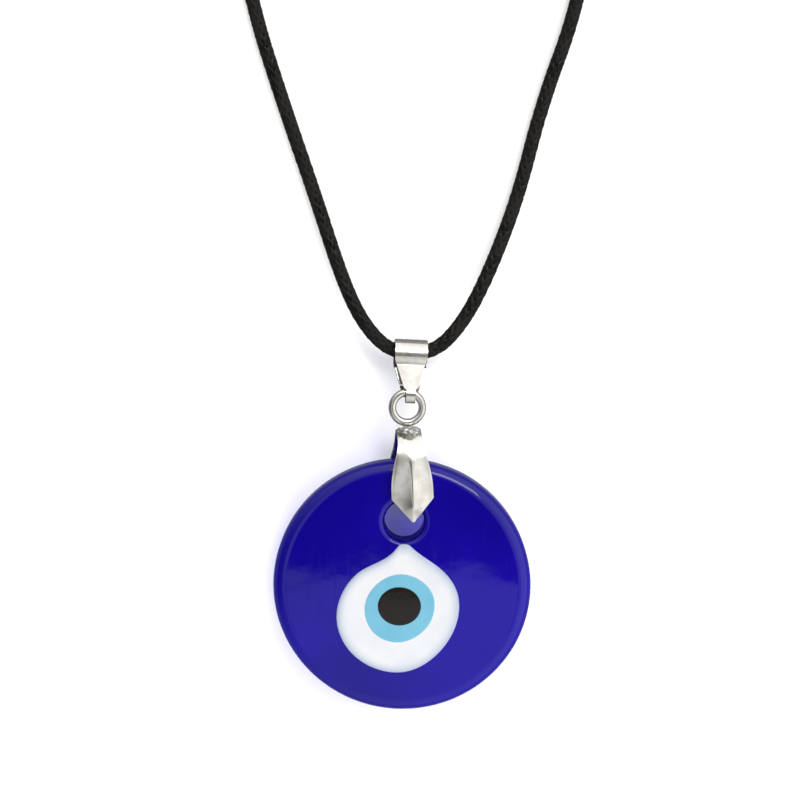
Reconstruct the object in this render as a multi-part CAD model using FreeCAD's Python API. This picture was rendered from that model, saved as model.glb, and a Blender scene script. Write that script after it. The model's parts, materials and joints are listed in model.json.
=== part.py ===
import FreeCAD, Part
import math
import os

from FreeCAD import Placement, Rotation, Vector

# Evil eye necklace, laid flat: glass disc on a faceted pinch bail, a soldered
# ring, a folded bail and a waxed cord. Millimetres. The table is z = 0, +Z is
# up, +Y runs from the disc to the neck cord and +X to the right. The origin is
# the middle of the bottom of the box round disc, pinch bail, ring and bail.

# --- glass disc: its own frame has its origin at the middle of the back face
DISC_WIDE = 30.0
DISC_TALL = 29.2
DISC_THICK = 5.0
DISC_TURN = -3.7  # the hand-pressed outline is a little wider than tall
RIM_FRONT = 1.5
RIM_BACK = 0.9
HOLE_R = 2.3
HOLE_UP = 7.6
HOLE_RIGHT = 0.25
HOLE_FLARE = 0.7
DISC_Y = -6.94
DISC_LIFT = 0.93
DISC_TILT = 4.3  # the pinch bail's back leaf props the top of the disc up
BACK_R = 220.0  # the back is slightly domed, with a flat where it was ground
BACK_FLAT_R = 5.9
BACK_REST_DOWN = -4.0  # middle of the flat of the back that is clear of the bail

# --- the eye: three layers of glass melted into the front, under one low dome
DOME_HIGH = 5.40
DOME_R = 80.0
DOME_AT = Vector(-0.35, -2.4, 0)
WHITE_FLOOR = 3.7
IRIS_FLOOR = 4.4
PUPIL_FLOOR = 4.8
WHITE_OUTLINE = (
    (-0.4, 4.8), (-2.0, 3.25), (-4.8, 1.8), (-6.6, -0.15), (-7.6, -3.6),
    (-6.35, -7.2), (-3.2, -9.55), (0.5, -9.95), (4.2, -7.8), (6.5, -3.6),
    (6.4, -0.7), (4.6, 1.95), (2.4, 3.55), (0.95, 4.75),
)
WHITE_TIP = (0.3, 4.95)
IRIS_AT = Vector(-0.28, -2.5, 0)
IRIS_RADII = (4.05, 4.1, 3.95, 3.85, 4.05, 4.15, 4.0, 3.85)
PUPIL_AT = Vector(-0.3, -2.27, 0)
PUPIL_WIDE = 2.5
PUPIL_TALL = 2.24

# --- pinch bail: its own frame has its origin between the prongs, halfway
# through the disc
PRONG_RIGHT = 1.02
PRONG_UP = 9.06
PINCH_TURN = 1.95
PINCH_YAW = 4.5  # the front leaf is swung a little to the right of the back one
LEAF_GAP = 0.3
SHEET = 0.45
CROWN_TOP = 9.1
CROWN_WIDE = 2.85
CROWN_BEND = 1.8
LEAF_WIDE = 4.8
LEAF_SHOULDER = (2.02, 5.1)  # half width and height where the leaf's side bulges
LEAF_WIDEST = 1.3
LEAF_TIP = -1.4
APEX = 0.3
APEX_HIGH = 1.3
RIDGE_TOP = 7.0
RIDGE_HIGH = 0.94
RIDGE_END = 7.6
PRONG_R = 0.45
PRONG_END_GAP = 0.3

# --- ring soldered on the crown
RING_WIRE_R = 0.445
RING_R = 1.75
RING_RIGHT = 0.0
RING_UP = 11.6
SOLDER_R = 0.45
SOLDER_UP = 9.2
SOLDER_WIDE = 1.1

# --- folded bail: its own frame has its origin on the ring's wire
BAIL_RIGHT = 0.42
BAIL_UP = 13.32
BAIL_TURN = -2.5
BAIL_YAW = 4.0
BAIL_DROP = -28.0  # the bail hangs down from the ring to the cord on the table
BAIL_LONG = 5.26
BAIL_SHEET = 0.35
BAIL_EYE_R = 0.75
BAIL_EYE_DOWN = 0.17
BAIL_TUBE_R = 1.25
BAIL_WAIST = 0.3
BAIL_WAIST_DOWN = 1.7
BAIL_WIDE = 3.8
BAIL_NECK = 3.3
BAIL_NECK_BACK = 3.7
BAIL_TAB = 1.1
BAIL_TAB_UP = -0.1
BAIL_FOOT = 1.7
BAIL_FOOT_UP = 0.2

# --- cord
CORD_D = 1.7
CORD_SAG = 0.1  # the cord lies this far under the middle of the bail's tube
COIL_R = 9.0
COIL_TURNS = 2
COIL_PITCH = 1.74
COIL_ROUNDING = 0.6
COIL_SKIN = 0.04  # the turns' outer shape stays this far inside the straight ends' skin
STUB = 2.5
LEFT_COIL = Vector(-10.4, 79.0, 0)
RIGHT_COIL = Vector(13.2, 79.0, 0)
LEFT_RUN = (
    (-19.4, 71.0, 0.85), (-17.6, 60.6, 0.85), (-13.9, 49.0, 0.85), (-10.15, 38.2, 0.9),
    (-7.1, 28.7, 1.6), (-4.55, 23.2, 2.4), (-1.15, 19.8, 2.8),
)
RIGHT_RUN = (
    (3.65, 19.8, 2.5), (7.05, 23.2, 2.2), (10.0, 28.7, 1.5), (13.7, 38.2, 0.9),
    (16.4, 49.0, 0.85), (20.7, 60.6, 0.85), (22.2, 71.0, 0.85),
)
LEFT_TAIL = (
    (-19.4, 88.0, 4.2), (-16.7, 96.0, 3.6), (-10.4, 102.5, 2.7), (-3.4, 105.0, 2.02),
    (3.6, 105.0, 2.02),
)
RIGHT_TAIL = (
    (22.2, 86.5, 4.2), (20.0, 91.0, 3.5), (15.0, 92.9, 2.7), (9.5, 92.9, 2.02),
    (4.2, 93.0, 2.02),
)

# --- cord ends, rings and lobster clasp
END_R = 1.3
END_LONG = 6.0
END_GRIP = 5.0
END_DENT = 0.12
END_FIT = 0.02
EYE_R = 0.95
EYE_WIRE_R = 0.3
EYE_OUT = 7.1
LINK_R = 1.7
LINK_WIRE_R = 0.3
LINK_OUT = 9.1
CLASP_OUT = 11.35
CLASP_TILT = 5.6
CLASP_THICK = 2.0
CLASP_ROUNDING = 0.3
CLASP_NECK = 2.4
CLASP_EDGE = 0.05
CLASP_SINK = 0.5
LOOP_THICK = 1.3
LOOP_R = 1.7
LOOP_HOLE_R = 0.95
HOOK_AT = 7.3
HOOK_R = 3.1
HOOK_HOLE_R = 1.9
GATE_FROM = 35.0
GATE_TO = 100.0
PIVOT = Vector(5.0, 1.6, 0)
BOSS_R = 1.15
PIN_R = 0.3
PIN_FIT = 0.03
TRIGGER_THICK = 1.0
TRIGGER_TIP = Vector(8.5, 0.75, 0)
TRIGGER_HALF = 0.4
KNUCKLE_R = 0.75
TAB_TIP = Vector(4.7, 3.5, 0)
TAB_R = 0.45
SLOT = 1.1
SLOT_BACK = 3.9
SLOT_FLOOR = 0.35
SPRING_THICK = 0.15

X, Y, Z = Vector(1, 0, 0), Vector(0, 1, 0), Vector(0, 0, 1)
FLAT = 0.01  # edges lower than this lie flat


def prism(wire, low, high):
    """The closed flat wire at z = 0, pulled from z = low to z = high."""
    face = Part.Face(wire)
    face.translate(Vector(0, 0, low))
    return face.extrude(Vector(0, 0, high - low))


def polygon(points):
    """A closed wire of straight edges through (x, y) points."""
    corners = [Vector(x, y, 0) for x, y in points]
    return Part.makePolygon(corners + corners[:1])


def ring(radius, wire_r, at, axis):
    """A torus round the axis."""
    return Part.makeTorus(radius, wire_r, at, axis)


def bar(a, b, radius, thick):
    """A flat bar with round ends between two points, centred on its plane."""
    half = Vector(0, 0, thick / 2)
    across = Z.cross(b - a).normalize() * radius
    sides = Part.makePolygon([a + across, b + across, b - across, a - across, a + across])
    body = Part.Face(sides).extrude(half * 2)
    for end in (a, b):
        body = body.fuse(Part.makeCylinder(radius, thick, end))
    body.translate(-half)
    return body.removeSplitter()


def above(a, b, c, size=60.0):
    """A large block standing on the plane through three points, counter-clockwise from above."""
    normal = (b - a).cross(c - a).normalize()
    along = (b - a).normalize()
    across = normal.cross(along)
    corners = [a + along * i * size + across * j * size for i, j in ((-1, -1), (1, -1), (1, 1), (-1, 1))]
    return Part.Face(Part.makePolygon(corners + corners[:1])).extrude(normal * size)


def bends(points, radii):
    """The runs and arcs of a path: [(kind, start, middle or None, end, centre or None, turn)]."""
    parts, at = [], points[0]
    for before, corner, after, radius in zip(points, points[1:], points[2:], radii):
        come, go = (corner - before).normalize(), (after - corner).normalize()
        turn = come.getAngle(go)
        reach = radius * math.tan(turn / 2)
        a, b = corner - come * reach, corner + go * reach
        inward = (go - come).normalize()
        centre = corner + inward * (radius / math.cos(turn / 2))
        side = 1 if come.cross(go).z > 0 else -1
        if (a - at).Length > 1e-6:
            parts.append(("line", at, None, a, None, 0))
        parts.append(("arc", a, centre - inward * radius, b, centre, side))
        at = b
    parts.append(("line", at, None, points[-1], None, 0))
    return parts


def strip(points, radii, thick):
    """A wire round a bent strip of sheet whose middle line is the filleted path."""
    sides = []
    for shift in (thick / 2, -thick / 2):
        edges = []
        for kind, a, m, b, centre, turn in bends(points, radii):
            if kind == "line":
                left = Z.cross(b - a).normalize() * shift
                edges.append(Part.LineSegment(a + left, b + left).toShape())
            else:
                radius = (a - centre).Length
                scale = (radius - turn * shift) / radius
                a, m, b = (centre + (p - centre) * scale for p in (a, m, b))
                edges.append(Part.Arc(a, m, b).toShape())
        sides.append(edges)
    ends = []
    for first in (True, False):
        left, right = (s[0].firstVertex().Point if first else s[-1].lastVertex().Point for s in sides)
        ends.append(Part.LineSegment(left, right).toShape())
    return Part.Wire(Part.__sortEdges__(sides[0] + sides[1] + ends))


def tube(points, radius):
    """A round cord through points: straight runs joined by tangent arcs. Returns the solid and its path."""
    radii = []
    for before, corner, after in zip(points, points[1:], points[2:]):
        short = min((corner - before).Length, (after - corner).Length)
        radii.append(0.45 * short / math.tan((corner - before).getAngle(after - corner) / 2))
    edges = [
        (Part.LineSegment(a, b) if kind == "line" else Part.Arc(a, m, b)).toShape()
        for kind, a, m, b, centre, turn in bends(points, radii)
    ]
    path = Part.Wire(edges)
    start = Part.Wire(Part.makeCircle(radius, points[0], points[1] - points[0]))
    body = path.makePipeShell([start], True, False)
    print("bend radii", " ".join(f"{r:.1f}" for r in radii), "volume over section x length",
          f"{body.Volume / (math.pi * radius**2 * path.Length):.4f}")
    return body, path


# ---------------------------------------------------------------- glass disc
def white_outline():
    points = [Vector(x, y, 0) for x, y in WHITE_OUTLINE]
    side = Part.BSplineCurve()
    side.interpolate(points)
    tip = Part.Arc(points[-1], Vector(*WHITE_TIP, 0), points[0])
    return Part.Wire([side.toShape(), tip.toShape()])


def iris_outline():
    step = 2 * math.pi / len(IRIS_RADII)
    points = [
        IRIS_AT + Vector(math.cos(i * step), math.sin(i * step), 0) * r
        for i, r in enumerate(IRIS_RADII)
    ]
    loop = Part.BSplineCurve()
    loop.interpolate(points, PeriodicFlag=True)
    return Part.Wire([loop.toShape()])


def pupil_outline():
    oval = Part.Ellipse(PUPIL_AT, PUPIL_WIDE, PUPIL_TALL)
    return Part.Wire([oval.toShape()])


def glass():
    """Disc, white, light blue and pupil, each cut to the next."""
    oval = Part.Wire([Part.Ellipse(Vector(), DISC_WIDE / 2, DISC_TALL / 2).toShape()])
    oval.rotate(Vector(), Z, DISC_TURN)
    disc = prism(oval, 0, DISC_THICK)
    rims = {True: [], False: []}
    for edge in disc.Edges:
        if edge.BoundBox.ZLength < FLAT:
            rims[edge.BoundBox.ZMax > DISC_THICK / 2].append(edge)
    disc = disc.makeFillet(RIM_FRONT, rims[True])
    low = [e for e in disc.Edges if e.BoundBox.ZMax < 0.01]
    disc = disc.makeFillet(RIM_BACK, low)
    sag = BACK_FLAT_R**2 / (2 * BACK_R)
    disc = disc.common(Part.makeSphere(BACK_R, Vector(0, BACK_REST_DOWN, BACK_R - sag)))
    hole_at = Vector(HOLE_RIGHT, HOLE_UP, 0)
    disc = disc.cut(Part.makeCylinder(HOLE_R, DISC_THICK, hole_at))
    mouths = [
        e for e in disc.Edges
        if e.BoundBox.ZLength < FLAT and abs(e.BoundBox.XLength - 2 * HOLE_R) < 0.01
    ]
    disc = disc.makeFillet(HOLE_FLARE, mouths)
    dome = Part.makeSphere(DOME_R, DOME_AT + Vector(0, 0, DOME_HIGH - DOME_R))
    high = DISC_THICK + 1
    white, iris, pupil = (
        prism(outline, floor, high).common(dome)
        for outline, floor in (
            (white_outline(), WHITE_FLOOR), (iris_outline(), IRIS_FLOOR), (pupil_outline(), PUPIL_FLOOR),
        )
    )
    return {
        "glass_disc": disc.cut(white),
        "eye_white_glass": white.cut(iris),
        "eye_light_blue_glass": iris.cut(pupil),
        "eye_pupil_glass": pupil,
    }


# ---------------------------------------------------------------- pinch bail
def leaf():
    """One faceted leaf, edges on z = 0 and the ridge towards +z."""
    wide, top = LEAF_WIDE / 2, CROWN_WIDE / 2
    corners = [Vector(x, y, 0) for x, y in ((top, RIDGE_END), (wide, LEAF_WIDEST), (0, LEAF_TIP),
                                            (-wide, LEAF_WIDEST), (-top, RIDGE_END))]
    out, up = LEAF_SHOULDER
    outline = Part.Wire([
        Part.Arc(corners[0], Vector(out, up, 0), corners[1]).toShape(),
        Part.LineSegment(corners[1], corners[2]).toShape(),
        Part.LineSegment(corners[2], corners[3]).toShape(),
        Part.Arc(corners[3], Vector(-out, up, 0), corners[4]).toShape(),
        Part.LineSegment(corners[4], corners[0]).toShape(),
    ])
    high = APEX_HIGH + 1
    apex, ridge = Vector(0, APEX, APEX_HIGH), Vector(0, RIDGE_TOP, RIDGE_HIGH)
    left, right = Vector(-wide, LEAF_WIDEST, SHEET), Vector(wide, LEAF_WIDEST, SHEET)
    tip, crown = Vector(0, LEAF_TIP, SHEET), Vector(0, RIDGE_END, SHEET * 0.9)
    facets = [
        above(apex, ridge, left), above(apex, right, ridge),
        above(apex, left, tip), above(apex, tip, right),
        above(ridge, crown + X, crown - X),
    ]
    outer, inner = prism(outline, 0, high), prism(outline, -SHEET, high)
    for facet in facets:
        outer = outer.cut(facet)
        facet.translate(Vector(0, 0, -SHEET))
        inner = inner.cut(facet)
    return outer.cut(inner)


def pinch_bail():
    """Two leaves joined over the disc's rim by the crown, and the two prongs."""
    half = DISC_THICK / 2
    middle = half + LEAF_GAP + SHEET / 2
    top = CROWN_TOP - SHEET / 2
    path = [
        Vector(RIDGE_TOP - 0.6, middle, 0), Vector(top, middle, 0),
        Vector(top, -middle, 0), Vector(RIDGE_TOP - 0.6, -middle, 0),
    ]
    crown = prism(strip(path, [CROWN_BEND] * 2, SHEET), -CROWN_WIDE / 2, CROWN_WIDE / 2)
    # the strip is drawn up x and through y: turn it so that up is y and through is z
    crown.Placement = Placement(Vector(), Rotation(Vector(1, 1, 1), 120))
    upper = leaf()
    upper.translate(Vector(0, 0, half + LEAF_GAP))
    lower = upper.mirror(Vector(), Z)
    body = crown.fuse([upper, lower]).removeSplitter()
    reach = half + LEAF_GAP + APEX_HIGH - PRONG_END_GAP / 2 - SHEET / 2
    pins = []
    for sign in (1, -1):
        start = Z * sign * PRONG_END_GAP / 2
        pin = Part.makeCylinder(PRONG_R, reach, start, Z * sign)
        rounded = [e for e in pin.Edges if abs(e.CenterOfMass.z - start.z) < 0.01]
        pins.append(pin.makeChamfer(PRONG_R * 0.4, rounded).cut(body))
    pins = [max(pin.Solids, key=lambda s: s.Volume) for pin in pins]
    at = Vector(RING_RIGHT, RING_UP, 0)
    loop = ring(RING_R, RING_WIRE_R, at, Z)
    ends = [Vector(RING_RIGHT + side * SOLDER_WIDE / 2, SOLDER_UP, 0) for side in (-1, 1)]
    blob = Part.makeCylinder(SOLDER_R, SOLDER_WIDE, ends[0], X)
    for end in ends:
        blob = blob.fuse(Part.makeSphere(SOLDER_R, end))
    blob = blob.cut(body.fuse(loop))
    joint = max(blob.Solids, key=lambda s: s.CenterOfMass.y)
    return {
        "pinch_bail": body,
        "pinch_bail_front_prong": pins[0],
        "pinch_bail_back_prong": pins[1],
        "top_ring": loop,
        "ring_solder": joint,
    }


def bail_loop():
    """A strip folded round the cord at the top and round the ring below."""
    sheet, eye = BAIL_SHEET, BAIL_EYE_R + BAIL_SHEET / 2
    tube_r = BAIL_TUBE_R + sheet / 2
    bottom = -BAIL_EYE_DOWN - eye
    waist = BAIL_LONG - BAIL_WAIST_DOWN
    shoulder = BAIL_LONG - 1.15
    crown = BAIL_LONG + tube_r
    path = [
        (1.3, -eye), (bottom, -eye), (bottom, eye), (waist, BAIL_WAIST), (shoulder, tube_r),
        (crown, tube_r), (crown, -tube_r), (shoulder, -tube_r), (waist, -BAIL_WAIST), (1.5, -eye + 0.1),
    ]
    points = [Vector(up, through, 0) for up, through in path]
    radii = [eye, eye - 0.12, 0.35, tube_r, tube_r, tube_r, tube_r, 0.35]
    folded = prism(strip(points, radii, sheet), -BAIL_WIDE / 2, BAIL_WIDE / 2)
    folded.Placement = Placement(Vector(), Rotation(Vector(1, 1, 1), 120))
    wide, tab, foot = BAIL_WIDE / 2, BAIL_TAB / 2, BAIL_FOOT / 2
    legs = []
    for neck, low, high in ((BAIL_NECK / 2, 0, 3), (BAIL_NECK_BACK / 2, -3, 0)):
        side = [
            (tab, -3.0), (tab, BAIL_TAB_UP), (foot, BAIL_FOOT_UP), (neck, waist - 0.1),
            (wide, waist + 0.25), (wide, crown + 1),
        ]
        legs.append(prism(polygon([(-x, y) for x, y in side] + side[::-1]), low, high))
    return folded.common(legs[0].fuse(legs[1])).removeSplitter()


# ---------------------------------------------------------------- cord
def coil(centre, side, radius):
    """Two turns as one ring of the outer shape, with the run coming in low and the end going out high."""
    high = COIL_TURNS * COIL_PITCH + radius
    half = radius - COIL_SKIN
    body = Part.makeCylinder(COIL_R + half, high, centre).cut(
        Part.makeCylinder(COIL_R - half, high, centre)
    )
    rims = [e for e in body.Edges if e.BoundBox.ZLength < FLAT and len(e.Vertexes) == 1]
    body = body.makeFillet(half * COIL_ROUNDING, rims)
    body.rotate(centre, Z, 90)  # keeps the seam away from where the straight ends touch
    edge = centre + Vector(side * COIL_R, 0, radius)
    into = Part.makeCylinder(radius, STUB, edge, -Y)
    out = Part.makeCylinder(radius, STUB, edge + Vector(0, 0, COIL_TURNS * COIL_PITCH), Y)
    return body.fuse([into, out]).removeSplitter()


def cord():
    """The run through the bail, the two coils and the two ends."""
    radius = CORD_D / 2
    made, total = {}, 0.0
    stubs = [
        centre + Vector(side * COIL_R, 0, radius)
        for centre, side in ((LEFT_COIL, -1), (RIGHT_COIL, 1))
    ]
    run = [stubs[0] - Y * STUB] + [Vector(*p) for p in LEFT_RUN + RIGHT_RUN] + [stubs[1] - Y * STUB]
    made["neck_cord"], path = tube(run, radius)
    total += path.Length
    for name, centre, side, stub, tail in (
        ("left", LEFT_COIL, -1, stubs[0], LEFT_TAIL), ("right", RIGHT_COIL, 1, stubs[1], RIGHT_TAIL),
    ):
        made[f"cord_coil_{name}"] = coil(centre, side, radius)
        turn = math.hypot(2 * math.pi * COIL_R, COIL_PITCH)
        start = stub + Vector(0, STUB, COIL_TURNS * COIL_PITCH)
        made[f"cord_tail_{name}"], path = tube([start] + [Vector(*p) for p in tail], radius)
        total += COIL_TURNS * turn + 2 * STUB + path.Length
    print("cord length", round(total, 1))
    return made


# ---------------------------------------------------------------- closure
def cord_end():
    """A crimped cap: the cord comes in at the origin along +x, an eye at the far end."""
    profile = [
        (0, CORD_D / 2 + END_FIT), (0, END_R - 0.1), (0.1, END_R), (1.6, END_R), (2.0, END_R - END_DENT),
        (2.4, END_R), (3.4, END_R), (3.8, END_R - END_DENT), (4.2, END_R), (END_LONG - 0.3, END_R),
        (END_LONG, END_R - 0.3), (END_LONG, 0), (END_GRIP, 0), (END_GRIP, CORD_D / 2 + END_FIT),
    ]
    body = Part.Face(polygon(profile)).revolve(Vector(), X, 360)
    return body.fuse(ring(EYE_R, EYE_WIRE_R, Vector(EYE_OUT, 0, 0), Z)).removeSplitter()


def sector(radius, low, high, start, end):
    """A wedge of a cylinder round the hook's middle between two angles."""
    wedge = Part.makeCylinder(radius, high - low, Vector(0, 0, low), Z, end - start)
    wedge.rotate(Vector(), Z, start)
    wedge.translate(Vector(HOOK_AT, 0, 0))
    return wedge


def clasp():
    """Body, pin, spring and trigger of a lobster clasp; the loop for the jump ring is at the origin."""
    half = CLASP_THICK / 2
    hook_at = Vector(HOOK_AT, 0, -half)
    loop = Part.makeCylinder(LOOP_R, LOOP_THICK, Vector(0, 0, -LOOP_THICK / 2))
    start = Vector(LOOP_HOLE_R + CLASP_EDGE, -CLASP_NECK / 2, -half)
    neck = Part.makeBox(HOOK_AT - HOOK_R + CLASP_SINK, CLASP_NECK, CLASP_THICK, start)
    boss = Part.makeCylinder(BOSS_R, CLASP_THICK, PIVOT - Z * half)
    hook = Part.makeCylinder(HOOK_R, CLASP_THICK, hook_at)
    body = loop.fuse([neck, boss, hook])
    body = body.cut(Part.makeCylinder(HOOK_HOLE_R, CLASP_THICK, hook_at))
    body = body.cut(sector(HOOK_R + 1, -half, half, GATE_FROM, GATE_TO))
    body = body.cut(Part.makeCylinder(LOOP_HOLE_R, CLASP_THICK, Vector(0, 0, -half)))
    slot = Part.makeBox(3.2, 5.0, SLOT, Vector(SLOT_BACK, SLOT_FLOOR, -SLOT / 2))
    body = body.cut(slot).removeSplitter()
    outer = [
        e for e in body.Edges
        if e.BoundBox.ZLength < FLAT and abs(abs(e.CenterOfMass.z) - half) < FLAT
        and e.BoundBox.XMax > HOOK_AT and e.BoundBox.XLength > HOOK_R
    ]
    print("clasp edges rounded", len(outer))
    body = body.makeFillet(CLASP_ROUNDING, outer)
    pin = Part.makeCylinder(PIN_R, CLASP_THICK, PIVOT - Z * half)
    body = body.cut(pin)
    arm = bar(PIVOT, TRIGGER_TIP, TRIGGER_HALF, TRIGGER_THICK)
    knuckle = Part.makeCylinder(KNUCKLE_R, TRIGGER_THICK, PIVOT - Z * TRIGGER_THICK / 2)
    tab = bar(PIVOT, TAB_TIP, TAB_R, TRIGGER_THICK)
    trigger = arm.fuse([knuckle, tab]).removeSplitter()
    trigger = trigger.cut(Part.makeCylinder(PIN_R + PIN_FIT, SLOT, PIVOT - Z * SLOT / 2))
    x, y = SLOT_BACK + SPRING_THICK / 2, SLOT_FLOOR + SPRING_THICK / 2
    leaf_path = [Vector(x, 2.0, 0), Vector(x, y, 0), Vector(x + 1.1, y, 0)]
    spring = prism(strip(leaf_path, [0.25], SPRING_THICK), -0.4, 0.4)
    return {"clasp_body": body, "clasp_pin": pin, "clasp_spring": spring, "clasp_trigger": trigger}


# ---------------------------------------------------------------- putting together
def put(shape, placement):
    """The shape carried from its own frame to the necklace's."""
    shape = shape.copy()
    shape.Placement = placement.multiply(shape.Placement)
    return shape


def axis_of(name, placement, at, direction):
    """Prints a joint's axis in the necklace's frame."""
    p, d = placement.multVec(at), placement.Rotation.multVec(direction)
    print(f"{name}: point {p.x:.4f} {p.y:.4f} {p.z:.4f} axis {d.x:.5f} {d.y:.5f} {d.z:.5f}")
    return p


def necklace():
    nodes = {}
    disc_frame = Placement(Vector(0, DISC_Y, DISC_LIFT), Rotation(X, DISC_TILT))
    for name, shape in glass().items():
        nodes[name] = put(shape, disc_frame)
    prongs = Placement(Vector(PRONG_RIGHT, PRONG_UP, DISC_THICK / 2), Rotation())
    swing = Rotation(Z, PINCH_TURN).multiply(Rotation(Y, PINCH_YAW))
    pinch_frame = disc_frame.multiply(prongs).multiply(Placement(Vector(), swing))
    for name, shape in pinch_bail().items():
        nodes[name] = put(shape, pinch_frame)
    hang = pinch_frame.multVec(Vector(BAIL_RIGHT, BAIL_UP, 0))
    swing = Rotation(Z, BAIL_TURN).multiply(Rotation(Y, BAIL_YAW)).multiply(Rotation(X, BAIL_DROP))
    bail_frame = Placement(hang, swing)
    nodes["folded_bail"] = put(bail_loop(), bail_frame)
    nodes.update(cord())
    for side, tail in (("left", LEFT_TAIL), ("right", RIGHT_TAIL)):
        before, last = (Vector(*p) for p in tail[-2:])
        along = (last - before).normalize()
        turn = Rotation(X, along)
        end_frame = Placement(last - along * END_GRIP, turn)
        nodes[f"cord_end_{side}"] = put(cord_end(), end_frame)
        link = ring(LINK_R, LINK_WIRE_R, Vector(LINK_OUT, 0, 0), Y)
        nodes["clasp_ring" if side == "left" else "end_ring"] = put(link, end_frame)
        axis_of(f"{side} ring", end_frame, Vector(LINK_OUT - LINK_R, 0, 0), Z)
        if side == "left":
            clasp_frame = end_frame.multiply(Placement(Vector(CLASP_OUT, 0, 0), Rotation(Y, CLASP_TILT)))
            for name, shape in clasp().items():
                nodes[name] = put(shape, clasp_frame)
            axis_of("clasp", end_frame, Vector(LINK_OUT + LINK_R, 0, 0), Z)
            axis_of("trigger", clasp_frame, PIVOT, Z)
    axis_of("disc", disc_frame.multiply(prongs), Vector(), Z)
    axis_of("pinch bail", pinch_frame, Vector(BAIL_RIGHT, BAIL_UP, 0), X)
    axis_of("bail", bail_frame, Vector(0, BAIL_LONG, 0), X)
    axis_of("back flat", disc_frame, Vector(0, BACK_REST_DOWN, 0), -Z)
    return nodes


def main():
    os.makedirs("parts", exist_ok=True)
    for name, shape in necklace().items():
        solids = shape.Solids
        box = shape.optimalBoundingBox(False)
        print(f"{name:22s} solids {len(solids)} valid {shape.isValid()} volume {shape.Volume:9.3f}"
              f" x {box.XMin:.2f} {box.XMax:.2f} y {box.YMin:.2f} {box.YMax:.2f}"
              f" z {box.ZMin:.2f} {box.ZMax:.2f}")
        solids[0].exportStep(f"parts/{name}.step")


main()
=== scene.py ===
"""Evil eye necklace laid flat on a pale table.

A pressed cobalt glass disc with a melted-in eye hangs from a faceted pinch bail,
a soldered ring and a folded bail on a braided waxed cord, which ends in a small
lobster clasp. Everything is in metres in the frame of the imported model.
"""
import json
import logging
import math
from dataclasses import dataclass
from enum import Enum
from typing import Callable, Iterable, Optional, Sequence, Union

import bpy
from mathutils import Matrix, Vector, noise
from mathutils.bvhtree import BVHTree


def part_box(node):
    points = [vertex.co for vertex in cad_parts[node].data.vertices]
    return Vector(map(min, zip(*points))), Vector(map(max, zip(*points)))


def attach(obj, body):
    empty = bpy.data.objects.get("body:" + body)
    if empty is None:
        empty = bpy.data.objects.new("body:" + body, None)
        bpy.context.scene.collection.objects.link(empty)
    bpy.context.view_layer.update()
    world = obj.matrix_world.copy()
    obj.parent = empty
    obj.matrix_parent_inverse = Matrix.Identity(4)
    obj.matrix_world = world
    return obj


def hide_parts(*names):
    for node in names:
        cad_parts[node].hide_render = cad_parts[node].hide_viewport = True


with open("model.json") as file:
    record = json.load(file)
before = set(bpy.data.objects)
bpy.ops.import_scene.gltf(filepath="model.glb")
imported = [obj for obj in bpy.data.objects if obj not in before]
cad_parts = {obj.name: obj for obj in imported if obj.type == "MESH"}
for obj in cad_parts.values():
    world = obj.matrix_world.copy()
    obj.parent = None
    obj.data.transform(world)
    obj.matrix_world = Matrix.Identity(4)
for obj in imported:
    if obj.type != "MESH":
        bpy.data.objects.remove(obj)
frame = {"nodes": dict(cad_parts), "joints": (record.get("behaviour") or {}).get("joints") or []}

MM = 0.001
Colour = tuple[float, float, float]
Socket = bpy.types.NodeSocket
LOG = logging.getLogger("necklace")


class Body(Enum):
    """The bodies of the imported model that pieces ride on."""

    NECK = "neck"
    HANGER = "hanger"
    DISC = "disc"


class Slot(Enum):
    """The record's finish names, which the eye layers hold."""

    WHITE = "white_glass"
    LIGHT_BLUE = "light_blue_glass"
    DARK = "dark_glass"
    NICKEL = "nickel_plate"
    SOLDER = "solder"
    CORD = "waxed_cord"


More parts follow.
